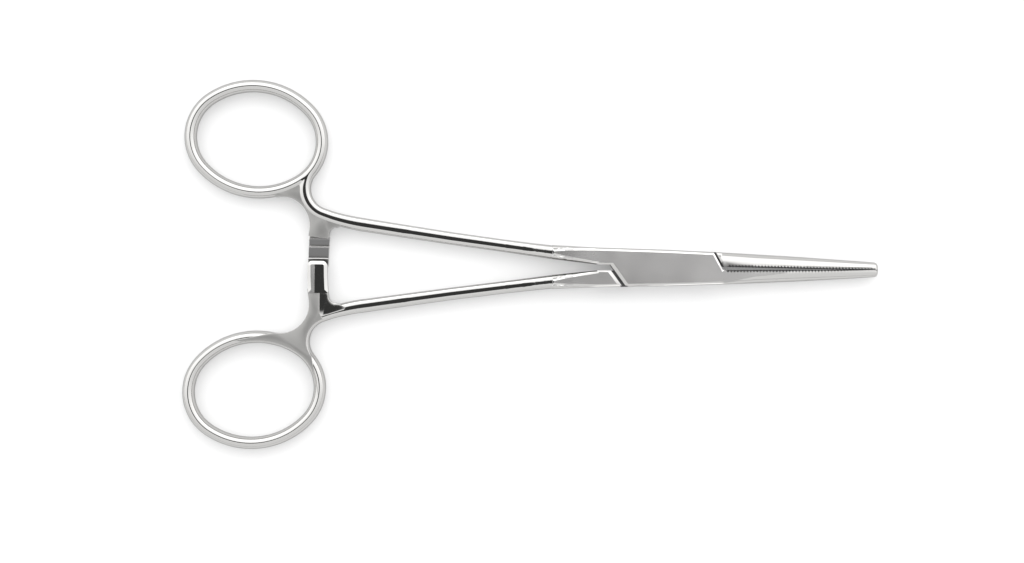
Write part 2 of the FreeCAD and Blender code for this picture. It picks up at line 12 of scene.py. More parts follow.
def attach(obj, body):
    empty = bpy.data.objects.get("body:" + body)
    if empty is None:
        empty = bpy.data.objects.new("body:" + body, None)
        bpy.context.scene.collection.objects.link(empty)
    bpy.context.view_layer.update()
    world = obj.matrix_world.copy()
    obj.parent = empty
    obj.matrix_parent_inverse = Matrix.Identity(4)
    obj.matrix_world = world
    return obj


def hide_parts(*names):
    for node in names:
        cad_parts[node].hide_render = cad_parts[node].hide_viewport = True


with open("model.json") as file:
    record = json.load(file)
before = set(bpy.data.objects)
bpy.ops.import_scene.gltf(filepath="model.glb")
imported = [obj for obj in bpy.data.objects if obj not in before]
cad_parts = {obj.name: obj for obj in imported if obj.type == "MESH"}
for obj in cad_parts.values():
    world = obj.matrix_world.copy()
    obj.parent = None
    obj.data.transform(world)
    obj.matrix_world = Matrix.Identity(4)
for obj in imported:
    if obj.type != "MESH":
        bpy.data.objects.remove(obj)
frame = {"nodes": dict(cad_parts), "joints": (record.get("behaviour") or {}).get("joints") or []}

LOG = logging.getLogger("forceps")
MM = 0.001
LEVEL = 0.999
SAME_HEIGHT = 0.003
CUT_TOLERANCE = 0.001 * MM
OVAL_STEPS = 32
SPIN_STEPS = 32
ARC_STEPS = 12
FINE_ARC_STEPS = 16
HEEL_STEPS = 6


# Node graphs

class Socket:
    """A node's output, on which shader maths is written as plain expressions."""

    def __init__(self, graph: "Graph", output: bpy.types.NodeSocket) -> None:
        """Wraps an output of a node.

        Args:
            graph: the graph that the node is in.
            output: the node's output.
        """
        self.graph = graph
        self.output = output

    def __add__(self, other: "Socket | float") -> "Socket":
        """Adds a value or socket."""
        return self.graph.math("ADD", self, other)

    def __radd__(self, other: float) -> "Socket":
        """Adds this to a plain value."""
        return self.graph.math("ADD", other, self)

    def __sub__(self, other: "Socket | float") -> "Socket":
        """Takes away a value or socket."""
        return self.graph.math("SUBTRACT", self, other)

    def __rsub__(self, other: float) -> "Socket":
        """Takes this from a plain value."""
        return self.graph.math("SUBTRACT", other, self)

    def __mul__(self, other: "Socket | float") -> "Socket":
        """Multiplies by a value or socket."""
        return self.graph.math("MULTIPLY", self, other)

    def __rmul__(self, other: float) -> "Socket":
        """Multiplies a plain value by this."""
        return self.graph.math("MULTIPLY", other, self)

    def ramp(self, low: float, high: float) -> "Socket":
        """Smooth step of this value from 0 at low to 1 at high.

        Args:
            low: value at and under which the result is 0.
            high: value at and over which the result is 1.

        Returns:
            The stepped value.
        """
        node = self.graph.node("ShaderNodeMapRange",
                               {"Value": self, "From Min": low, "From Max": high},
                               interpolation_type="SMOOTHSTEP")
        return Socket(self.graph, node.outputs["Result"])


class Graph:
    """The node tree of one material or world."""

    def __init__(self, tree: bpy.types.NodeTree) -> None:
        """Empties the tree that the graph is built in.

        Args:
            tree: the node tree of a material or world.
        """
        self.tree = tree
        tree.nodes.clear()

    def node(self, kind: str, inputs: dict, **settings: str) -> bpy.types.Node:
        """Makes a node, sets its options, then sets or links its inputs.

        Args:
            kind: Blender's name of the node type.
            inputs: values or sockets by the input's name or number.
            settings: the node's options, such as a Math node's operation.

        Returns:
            The node.
        """
        node = self.tree.nodes.new(kind)
        for option, choice in settings.items():
            setattr(node, option, choice)
        for key, value in inputs.items():
            if isinstance(value, Socket):
                self.tree.links.new(value.output, node.inputs[key])
            else:
                node.inputs[key].default_value = value
        return node

    def math(self, operation: str, first: "Socket | float",
             second: "Socket | float" = 0.0) -> Socket:
        """One Math node.

        Args:
            operation: Blender's name of the operation.
            first: first value or socket.
            second: second value or socket.

        Returns:
            The result.
        """
        node = self.node("ShaderNodeMath", {0: first, 1: second}, operation=operation)
        return Socket(self, node.outputs[0])

    def position(self, kind: str, axis: str) -> Socket:
        """One axis of a texture coordinate.

        Args:
            kind: the coordinate, such as Object or Generated.
            axis: X, Y or Z.

        Returns:
            The value along that axis.
        """
        split = self.node("ShaderNodeSeparateXYZ", {"Vector": self.coordinate(kind)})
        return Socket(self, split.outputs[axis])

    def coordinate(self, kind: str) -> Socket:
        """A texture coordinate.

        Args:
            kind: the coordinate, such as Object or Generated.

        Returns:
            The coordinate as a vector.
        """
        return Socket(self, self.node("ShaderNodeTexCoord", {}).outputs[kind])

    def noise(self, scale: float, stretch: tuple[float, float, float], detail: float) -> Socket:
        """Noise on Object coordinates.

        Args:
            scale: features per metre.
            stretch: factor on each axis before the noise is read.
            detail: octaves of finer noise.

        Returns:
            Noise from 0 to 1.
        """
        place = self.node("ShaderNodeMapping",
                          {"Vector": self.coordinate("Object"), "Scale": stretch})
        texture = self.node("ShaderNodeTexNoise", {
            "Vector": Socket(self, place.outputs["Vector"]), "Scale": scale, "Detail": detail})
        return Socket(self, texture.outputs["Fac"])


# Finishes

@dataclass(frozen=True)
class Steel:
    """A finish of stainless steel.

    Attributes:
        name: the material's name.
        order: its place among an object's materials.
        colour: base colour of the metal.
        roughness: middle roughness.
        roughness_play: how far the roughness varies either way.
        grain: bump height of the fine grain, in metres.
        grain_scale: grain features per metre.
        stretch: stretch of the grain on each axis.
        rim: brightness of reflections at a grazing angle.
        wear_scale: patches of smoother and duller metal per metre.
    """

    name: str
    order: int
    colour: tuple[float, float, float, float] = (0.52, 0.515, 0.505, 1.0)
    roughness: float = 0.06
    roughness_play: float = 0.03
    grain: float = 0.0
    grain_scale: float = 2500.0
    stretch: tuple[float, float, float] = (1.0, 1.0, 1.0)
    rim: float = 0.55
    wear_scale: float = 180.0

    def material(self) -> bpy.types.Material:
        """Makes the material.

        Returns:
            A new material with this finish.
        """
        made = bpy.data.materials.new(self.name)
        made.use_nodes = True
        graph = Graph(made.node_tree)
        wear = graph.noise(self.wear_scale, (1.0, 1.0, 1.0), 3.0)
        surface = {
            "Base Color": self.colour,
            "Metallic": 1.0,
            "Specular Tint": (self.rim, self.rim, self.rim, 1.0),
            "Roughness": (wear - 0.5) * (2 * self.roughness_play) + self.roughness,
        }
        if self.grain:
            height = graph.noise(self.grain_scale, self.stretch, 2.0)
            bump = graph.node("ShaderNodeBump", {
                "Height": height, "Distance": self.grain, "Strength": 1.0})
            surface["Normal"] = Socket(graph, bump.outputs["Normal"])
        shader = graph.node("ShaderNodeBsdfPrincipled", surface)
        graph.node("ShaderNodeOutputMaterial", {"Surface": Socket(graph, shader.outputs["BSDF"])})
        return made


class Finish(Enum):
    """The finishes of the forceps' surfaces, two of them painted shade."""

    POLISHED = Steel("polished_steel", 0)
    SATIN = Steel("satin_steel", 1, colour=(0.45, 0.445, 0.44, 1.0), roughness=0.25,
                  roughness_play=0.05, grain=0.000003, stretch=(0.25, 1.0, 1.0))
    # Painted shade: near-black steel on the tongue's faces inside the box and on the slopes along
    # the serrations, standing in for the deep shade in the gap and the zigzag.
    PAINTED_DEEP_SHADE = Steel("painted_deep_shade_steel", 2, colour=(0.09, 0.09, 0.09, 1.0), roughness=0.4,
                 roughness_play=0.05)
    # Painted shade: dark grey steel on the jaw's serration walls and the ratchet teeth's slopes,
    # standing in for the shade that lies on them.
    PAINTED_SOFT_SHADE = Steel("painted_soft_shade_steel", 3, colour=(0.17, 0.17, 0.17, 1.0), roughness=0.35,
                   roughness_play=0.05)
    BRUSHED = Steel("brushed_steel", 4, colour=(0.32, 0.317, 0.31, 1.0), roughness=0.3,
                    roughness_play=0.05, grain=0.000003)


# Outlines in the plane of the rings

@dataclass
class Arc:
    """A round stretch of an outline.

    Attributes:
        centre: its centre.
        radius: its radius.
        start: where it starts.
        end: where it ends, less than half a turn on.
    """

    centre: Vector
    radius: float
    start: Vector
    end: Vector

    def points(self, steps: int) -> list[Vector]:
        """Points along the arc, both ends among them.

        Args:
            steps: number of chords.

        Returns:
            The points in order.
        """
        first, last = self.start - self.centre, self.end - self.centre
        sweep = first.angle_signed(last)
        return [self.centre + Matrix.Rotation(-sweep * step / steps, 2) @ first
                for step in range(steps + 1)]


def touching_centre(arc_centre: Vector, arc_radius: float, radius: float,
                    line_start: Vector, line_normal: Vector, forward: Vector) -> Vector:
    """Centre of the circle that touches an arc and a straight edge from outside.

    Args:
        arc_centre: centre of the arc.
        arc_radius: radius of the arc.
        radius: radius of the touching circle.
        line_start: a point on the edge.
        line_normal: unit normal of the edge, on the circle's side.
        forward: picks the circle that lies further this way.

    Returns:
        The centre.
    """
    run = Vector((-line_normal.y, line_normal.x))
    if run.dot(forward) < 0:
        run.negate()
    base = line_start + line_normal * radius - arc_centre
    reach = base.dot(run)
    ahead = math.sqrt(reach ** 2 - base.length_squared + (arc_radius + radius) ** 2) - reach
    return arc_centre + base + run * ahead


# Building blocks of the meshes, in millimetres about the pivot

class Shape:
    """A mesh that grows by bmesh operators."""

    def __init__(self) -> None:
        """Starts an empty mesh."""
        self.mesh = bmesh.new()

    def section(self, width: float, height: float, fullness: float,
                place: Matrix) -> list[bmesh.types.BMVert]:
        """An oval loop in the plane of its own x and y.

        Args:
            width: size along its x.
            height: size along its y.
            fullness: exponent of the oval: 2 is an ellipse, more is squarer.
            place: where the loop goes.

        Returns:
            The loop's vertices in order.
        """
        loop = bmesh.ops.create_circle(self.mesh, cap_ends=False, segments=OVAL_STEPS,
                                       radius=1.0)["verts"]
        for vert in loop:
            across, up = vert.co.x, vert.co.y
            stretch = (abs(across) ** fullness + abs(up) ** fullness) ** (-1.0 / fullness)
            vert.co = place @ Vector((across * stretch * width / 2, up * stretch * height / 2, 0))
        return loop

    def across_path(self, centre: Vector, along: Vector, width: float, height: float,
                    fullness: float) -> list[bmesh.types.BMVert]:
        """An upright oval loop across a path in the plane of the rings.

        Args:
            centre: where the path is.
            along: the path's direction there.
            width: the loop's width.
            height: the loop's height.
            fullness: exponent of the oval.

        Returns:
            The loop's vertices in order.
        """
        ahead = along.normalized()
        turn = Matrix(((-ahead.y, 0, ahead.x, 0), (ahead.x, 0, ahead.y, 0),
                       (0, 1, 0, 0), (0, 0, 0, 1)))
        return self.section(width, height, fullness, Matrix.Translation(centre.to_3d()) @ turn)

    def edges_of(self, loop: list[bmesh.types.BMVert]) -> list[bmesh.types.BMEdge]:
        """The edges that join a loop's vertices.

        Args:
            loop: the loop's vertices.

        Returns:
            Its edges.
        """
        members = set(loop)
        met = dict.fromkeys(edge for vert in loop for edge in vert.link_edges)
        return [edge for edge in met if edge.verts[0] in members and edge.verts[1] in members]

    def loft(self, loops: list[list[bmesh.types.BMVert]]) -> None:
        """Skins a row of loops and closes both ends.

        Args:
            loops: loops with the same number of vertices.
        """
        for first, second in zip(loops, loops[1:]):
            bmesh.ops.bridge_loops(self.mesh,
                                   edges=self.edges_of(first) + self.edges_of(second))
        for end in (loops[0], loops[-1]):
            bmesh.ops.edgeloop_fill(self.mesh, edges=self.edges_of(end))

    def spin(self, loop: list[bmesh.types.BMVert], centre: Vector,
             angle: float) -> list[bmesh.types.BMVert]:
        """Turns a loop about an upright axis.

        Args:
            loop: the loop's vertices.
            centre: where the axis stands.
            angle: how far it turns, in radians.

        Returns:
            The loop's vertices at the far end.
        """
        turned = bmesh.ops.spin(self.mesh, geom=loop + self.edges_of(loop), cent=centre,
                                axis=(0, 0, 1), dvec=(0, 0, 0), angle=angle,
                                steps=SPIN_STEPS, use_merge=False, use_duplicate=False)
        return [item for item in turned["geom_last"] if isinstance(item, bmesh.types.BMVert)]

    def plate(self, outline: list[Vector], bottom: float, height: float, bevel: float) -> None:
        """A plate of even thickness with rounded rims.

        Args:
            outline: its corners in order.
            bottom: height of its underside over the middle plane.
            height: its thickness.
            bevel: radius of the rims.
        """
        verts = [self.mesh.verts.new((corner.x, corner.y, bottom)) for corner in outline]
        face = self.mesh.faces.new(verts)
        raised = bmesh.ops.extrude_face_region(self.mesh, geom=[face])["geom"]
        top = [item for item in raised if isinstance(item, bmesh.types.BMVert)]
        bmesh.ops.translate(self.mesh, verts=top, vec=(0, 0, height))
        rims = self.edges_of(verts) + self.edges_of(top)
        bmesh.ops.bevel(self.mesh, geom=rims, offset=bevel, segments=4, profile=0.5,
                        affect="EDGES", material=-1, clamp_overlap=True)
        bmesh.ops.dissolve_degenerate(self.mesh, dist=0.004, edges=self.mesh.edges)

    def finish(self, name: str, place: Matrix) -> bpy.types.Object:
        """Makes the mesh an object, with outward normals.

        Args:
            name: the object's name.
            place: from the shape's millimetres to the frame's metres.

        Returns:
            The object, linked to the scene.
        """
        bmesh.ops.transform(self.mesh, matrix=place, verts=self.mesh.verts)
        bmesh.ops.recalc_face_normals(self.mesh, faces=self.mesh.faces)
        data = bpy.data.meshes.new(name)
        self.mesh.to_mesh(data)
        self.mesh.free()
        made = bpy.data.objects.new(name, data)
        bpy.context.scene.collection.objects.link(made)
        return made


# The two halves

@dataclass(frozen=True)
class HalfSide:
    """What tells the two halves apart.

    Attributes:
        node: the half's CAD node.
        body: the CAD body that it moves with.
        slot: its material slot in the record; not used.
        turned_over: whether it is turned over about X, ring to -Y.
        satin_front: how far ahead of the pivot its ground faces are satin, in millimetres.
    """

    node: str
    body: str
    slot: str
    turned_over: bool
    satin_front: float


class Side(Enum):
    """The forceps' two halves."""

    BOX = HalfSide("box_lock_half", "box_body", "box_half_steel", False, 60.0)
    TONGUE = HalfSide("tongue_half", "tongue_body", "tongue_half_steel", True, 0.0)


@dataclass
class NeckLines:
    """The lines that a neck is drawn on, in the plane of the rings.

    Attributes:
        back: unit vector along the shank, away from the pivot.
        out: unit vector across it, away from the other half.
        ring_front: centre of the ring's front arc.
        end_out: outer corner of the shank's rear end.
        end_in: inner corner of the shank's rear end.
        outer_arc: blend from the shank's outer edge into the ring.
        inner_arc: blend from the ratchet arm into the ring.
        to_front: from the outer blend's centre towards the ring's front arc's centre.
        to_flank: from the inner blend's centre towards the ring's side arc's centre.
    """

    back: Vector
    out: Vector
    ring_front: Vector
    end_out: Vector
    end_in: Vector
    outer_arc: Arc
    inner_arc: Arc
    to_front: Vector
    to_flank: Vector


@dataclass
class Handle:
    """Finger ring, neck, shank and the root of the ratchet arm: one smooth polished forging.

    Lengths are in millimetres about the pivot, the half's own ring at +Y.

    Attributes:
        side: which half it belongs to.
        pivot: the pivot's place in the frame, in metres.
        ring_centre: centre of the finger ring.
        ring_lean: how far the ring's long axis leans in towards the other half.
        ring_length: outer length of the ring.
        ring_width: outer width of the ring.
        end_radius: outer radius of the ring's two ends.
        wire: width of the ring's wire, seen from above.
        height: thickness of the ring and the shank's rear end.
        neck_end: middle of the shank's rear end.
        neck_width: width of the shank there.
        neck_slope: how fast the shank spreads from the other half, per unit of length.
        neck_flare: how far the shank's outer edge turns out before its blend.
        outer_blend: radius of the blend from the shank's outer edge into the ring.
        inner_blend: radius of the blend from the ratchet arm into the ring.
        arm_back: rear edge of the ratchet arm, from the pivot.
        arm_front: front edge of the ratchet arm, from the pivot.
        heel: radius of the corner between shank and ratchet arm.
        bend_steps: stations round the outer blend, and again along the bend.
        bend_reach: length of each leg of the bend between blend and shank.
        fill_rate: how soon the wire's section fills out round the outer blend.
        web_bottom: depth of the web under the middle plane.
        web_top: height of the web over it.
        web_bevel: radius of the web's rims.
        web_inset: how far the web reaches under the shank and the ring's wire.
        flange_bottom: depth of the flange's outer face.
        flange_height: thickness of the flange.
        flange_bevel: radius of the flange's rims.
        flange_inset: how far the flange stays behind the outer blend.
        flange_run: how far the flange runs along the ring to either side.
        flange_taper: length of the flange's pointed ends.
        flange_front: front edge of the flange over the ratchet arm.
        arm_overlap: how far web and flange reach into the machined arm.
        ring_fullness: exponent of the ring's oval section.
        crest_fullness: exponent of the shank's squarer section.
        voxel: size of the cells in which ring and shank are fused.
        melt_passes: passes of smoothing over the joins.
        flat_turn: turn of the surface that shows as an edge of web and flange.
        flat_level: how level a face of web and flange is where it is brushed.
        stations: the shank's sections, each as place, spread, width, height and fullness.
    """

    side: HalfSide
    pivot: Vector
    ring_centre: Vector = field(default_factory=lambda: Vector((-82.742, 25.218)))
    ring_lean: float = math.radians(7.0)
    ring_length: float = 29.0
    ring_width: float = 23.8
    end_radius: float = 10.4
    wire: float = 2.5
    height: float = 3.6
    neck_end: Vector = field(default_factory=lambda: Vector((-64.5, 8.66)))
    neck_width: float = 2.75
    neck_slope: float = 0.1457
    neck_flare: float = math.radians(9.2)
    outer_blend: float = 4.18
    inner_blend: float = 5.84
    arm_back: float = 72.1
    arm_front: float = 68.1
    heel: float = 1.3
    bend_steps: int = 14
    bend_reach: float = 3.6
    fill_rate: float = 2.5
    web_bottom: float = 1.84
    web_top: float = 1.55
    web_bevel: float = 0.5
    web_inset: float = 1.1
    flange_bottom: float = 1.9
    flange_height: float = 0.9
    flange_bevel: float = 0.35
    flange_inset: float = 0.5
    flange_run: float = 9.0
    flange_taper: float = 2.5
    flange_front: float = 69.6
    arm_overlap: float = 1.2
    ring_fullness: float = 2.2
    crest_fullness: float = 3.7
    voxel: float = 0.14
    melt_passes: int = 4
    flat_turn: float = math.radians(20)
    flat_level: float = 0.9
    stations: tuple = (
        (-54.0, 7.12, 2.62, 3.4, 3.7),
        (-43.5, 5.60, 2.52, 3.2, 3.7),
        (-33.0, 4.22, 2.50, 3.3, 3.7),
        (-27.0, 3.46, 2.62, 3.8, 3.7),
        (-23.0, 2.97, 2.78, 4.46, 3.7),
        (-22.0, 2.85, 2.5, 4.1, 3.7),
    )

    def place(self) -> Matrix:
        """From millimetres about the pivot to the frame.

        Returns:
            The matrix.
        """
        turn = Matrix.Rotation(math.pi, 4, "X") if self.side.turned_over else Matrix.Identity(4)
        return Matrix.Translation(self.pivot) @ turn @ Matrix.Scale(MM, 4)

    def ring_arcs(self) -> tuple[float, float, float, float]:
        """The oval's arcs.

        Returns:
            Offsets of the arcs' centres along and across, the side arcs' outer radius, and half
            the angle of an end arc.
        """
        along = self.ring_length / 2 - self.end_radius
        half_width = self.ring_width / 2
        side = ((along ** 2 + half_width ** 2 - self.end_radius ** 2)
                / (2 * (half_width - self.end_radius)))
        across = side - half_width
        return along, across, side, math.atan2(across, along)

    def to_ring(self) -> Matrix:
        """From the ring's own axes to the half's.

        Returns:
            The matrix.
        """
        return (Matrix.Translation(self.ring_centre.to_3d())
                @ Matrix.Rotation(-self.ring_lean, 4, "Z"))

    def add_ring(self, shape: Shape) -> None:
        """Spins the oval wire round the four arcs of the ring.

        Args:
            shape: the mesh it is added to.
        """
        along, across, side, half_end = self.ring_arcs()
        before = set(shape.mesh.verts)
        start = Matrix.Rotation(-half_end, 4, "Z")
        middle = start @ Vector((self.end_radius - self.wire / 2, 0, 0)) + Vector((along, 0, 0))
        upright = start @ Matrix.Rotation(math.pi / 2, 4, "X")
        loop = shape.section(self.wire, self.height, self.ring_fullness,
                             Matrix.Translation(middle) @ upright)
        half_side = math.pi / 2 - half_end
        for centre, angle in (((along, 0, 0), 2 * half_end), ((0, -across, 0), 2 * half_side),
                              ((-along, 0, 0), 2 * half_end), ((0, across, 0), 2 * half_side)):
            loop = shape.spin(loop, Vector(centre), angle)
        made = [vert for vert in shape.mesh.verts if vert not in before]
        bmesh.ops.remove_doubles(shape.mesh, verts=made, dist=0.01)
        made = [vert for vert in shape.mesh.verts if vert not in before]
        bmesh.ops.transform(shape.mesh, matrix=self.to_ring(), verts=made)

    def neck(self) -> "NeckLines":
        """The lines that the neck is drawn on.

        Returns:
            The neck's arcs and corners.
        """
        along, across, side, _ = self.ring_arcs()
        turn = Matrix.Rotation(-self.ring_lean, 2)
        front = self.ring_centre + turn @ Vector((along, 0))
        flank = self.ring_centre + turn @ Vector((0, across))
        back = Vector((-1, self.neck_slope)).normalized()
        out = Vector((self.neck_slope, 1)).normalized()
        end_out = self.neck_end + Vector((0, self.neck_width / 2))
        end_in = self.neck_end - Vector((0, self.neck_width / 2))
        arm_edge = end_in + back * (self.arm_back - end_in.length)
        flared_out = Matrix.Rotation(-self.neck_flare, 2) @ out
        outer = touching_centre(front, self.end_radius, self.outer_blend, end_out, flared_out,
                                -back)
        inner = touching_centre(flank, side, self.inner_blend, arm_edge, back, -out)
        to_front = (front - outer).normalized()
        to_flank = (flank - inner).normalized()
        outer_arc = Arc(outer, self.outer_blend, outer - flared_out * self.outer_blend,
                        outer + to_front * self.outer_blend)
        inner_arc = Arc(inner, self.inner_blend, inner - back * self.inner_blend,
                        inner + to_flank * self.inner_blend)
        return NeckLines(back, out, front, end_out, end_in, outer_arc, inner_arc, to_front,
                         to_flank)

    def add_shank(self, shape: Shape) -> None:
        """Lofts the shank from the ring's front, round the outer blend, to the box lock.

        Args:
            shape: the mesh it is added to.
        """
        lines = self.neck()
        bend = lines.outer_arc
        middle = bend.radius + self.wire / 2
        first = (bend.end - bend.centre).normalized()
        sweep = -first.angle_signed(bend.start - bend.centre)
        foot_spoke = Matrix.Rotation(sweep, 2) @ first
        loops = []
        for step in range(self.bend_steps + 1):
            spoke = Matrix.Rotation(sweep * step / self.bend_steps, 2) @ first
            ahead = Vector((-spoke.y, spoke.x)) * math.copysign(1.0, sweep)
            share = min(1.0, self.fill_rate * step / self.bend_steps)
            fullness = self.ring_fullness + (self.crest_fullness - self.ring_fullness) * share
            loops.append(shape.across_path(bend.centre + spoke * middle, ahead, self.wire,
                                           self.height, fullness))
        flare = Vector((-foot_spoke.y, foot_spoke.x)) * math.copysign(1.0, sweep)
        along = Vector((1, -self.neck_slope)).normalized()
        for step in range(1, self.bend_steps):
            share = step / self.bend_steps
            ahead = flare * (1 - share) + along * share
            spot = (self.neck_end - flare * self.bend_reach * (1 - share) ** 2
                    + along * self.bend_reach * share ** 2)
            width = self.wire + (self.neck_width - self.wire) * share
            loops.append(shape.across_path(spot, ahead, width, self.height, self.crest_fullness))
        for station, spread, width, height, fullness in self.stations:
            loops.append(shape.across_path(Vector((station, spread)), along, width, height,
                                           fullness))
        shape.loft(loops)

    def web_outline(self) -> list[Vector]:
        """Outline of the web between ring, shank and ratchet arm.

        Returns:
            Its corners in order.
        """
        lines = self.neck()
        back, out, end_in = lines.back, lines.out, lines.end_in
        inset = out * self.web_inset
        heel_foot = end_in + back * (self.arm_front - self.heel - end_in.length)
        heel_top = heel_foot + back * self.heel - out * self.heel
        heel_arc = Arc(heel_foot - out * self.heel, self.heel, heel_foot, heel_top)
        arm_root = heel_top - out * self.arm_overlap
        arm_root_back = arm_root + back * (self.arm_back - self.arm_front)
        flared = (lines.outer_arc.start - lines.outer_arc.centre).normalized()
        outer = Arc(lines.outer_arc.centre, lines.outer_arc.radius + self.web_inset,
                    lines.outer_arc.end + lines.to_front * self.web_inset,
                    lines.outer_arc.start + flared * self.web_inset)
        return (outer.points(ARC_STEPS) + [lines.end_out - inset, end_in + inset]
                + heel_arc.points(HEEL_STEPS)
                + [arm_root, arm_root_back] + lines.inner_arc.points(FINE_ARC_STEPS)
                + [lines.inner_arc.end + lines.to_flank * self.wire / 2,
                   outer.start + lines.to_front * (self.wire / 2 - self.web_inset)])

    def flange_outline(self) -> list[Vector]:
        """Outline of the flat that joins the ratchet arm's outer face to the ring's crest.

        Returns:
            Its corners in order.
        """
        lines = self.neck()
        flared = (lines.outer_arc.start - lines.outer_arc.centre).normalized()
        outer = Arc(lines.outer_arc.centre, lines.outer_arc.radius + self.flange_inset,
                    lines.outer_arc.end + lines.to_front * self.flange_inset,
                    lines.outer_arc.start + flared * self.flange_inset)
        _, _, side, half_end = self.ring_arcs()
        joint = -self.ring_lean - half_end
        flank = lines.inner_arc.end + lines.to_flank * side
        first = math.atan2(-lines.to_flank.y, -lines.to_flank.x) - self.flange_run / side
        last = math.atan2(-lines.to_front.y, -lines.to_front.x) + self.flange_run / self.end_radius
        crest = self.wire / 2
        inner = self.wire - self.flange_inset
        arm_end = lines.end_in.y - self.arm_overlap - self.heel
        points = outer.points(ARC_STEPS)
        points += [Vector((-self.flange_front, outer.end.y - self.neck_width / 2)),
                   Vector((-self.flange_front, arm_end)), Vector((-self.arm_back, arm_end))]
        points += lines.inner_arc.points(FINE_ARC_STEPS)
        for centre, radius, start, end, steps in (
                (flank, side - crest, first, first, 1),
                (flank, side - inner, first + self.flange_taper / side, joint, ARC_STEPS),
                (lines.ring_front, self.end_radius - inner, joint,
                 last - self.flange_taper / self.end_radius, ARC_STEPS),
                (lines.ring_front, self.end_radius - crest, last, last, 1)):
            points += [centre + Matrix.Rotation(start + (end - start) * step / steps, 2)
                       @ Vector((radius, 0)) for step in range(steps)]
        return points

    def build(self) -> list[bpy.types.Object]:
        """Builds and dresses the ring with its shank, the web and the flange.

        Returns:
            The finished objects, riding their body.
        """
        shape = Shape()
        self.add_ring(shape)
        self.add_shank(shape)
        forging = shape.finish(f"{self.side.node}_handle", self.place())
        self.melt(forging)
        forging.data.materials.append(FINISHES[Finish.POLISHED])
        made = [forging]
        for name, outline, bottom, height, bevel in (
                ("web", self.web_outline(), -self.web_bottom,
                 self.web_bottom + self.web_top, self.web_bevel),
                ("flange", self.flange_outline(), -self.flange_bottom,
                 self.flange_height, self.flange_bevel)):
            plate = Shape()
            plate.plate(outline, bottom, height, bevel)
            flat = plate.finish(f"{self.side.node}_{name}", self.place())
            for finish in (Finish.BRUSHED, Finish.POLISHED):
                flat.data.materials.append(FINISHES[finish])
            flange_side = 1.0 if self.side.turned_over else -1.0
            for face in flat.data.polygons:
                face.use_smooth = True
                level = face.normal.z * flange_side
                polished = abs(level) < self.flat_level or (name == "web" and level > 0)
                face.material_index = int(polished)
            flat.data.set_sharp_from_angle(angle=self.flat_turn)
            made.append(flat)
        for piece in made:
            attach(piece, self.side.body)
        return made

    def melt(self, made: bpy.types.Object) -> None:
        """Fuses an object's overlapping forms into one smooth surface.

        Args:
            made: the object.
        """
        remesh = made.modifiers.new("one_forging", "REMESH")
        remesh.mode = "VOXEL"
        remesh.voxel_size = self.voxel * MM
        remesh.use_smooth_shade = True
        smooth = made.modifiers.new("smooth_blends", "SMOOTH")
        smooth.factor = 0.5
        smooth.iterations = self.melt_passes


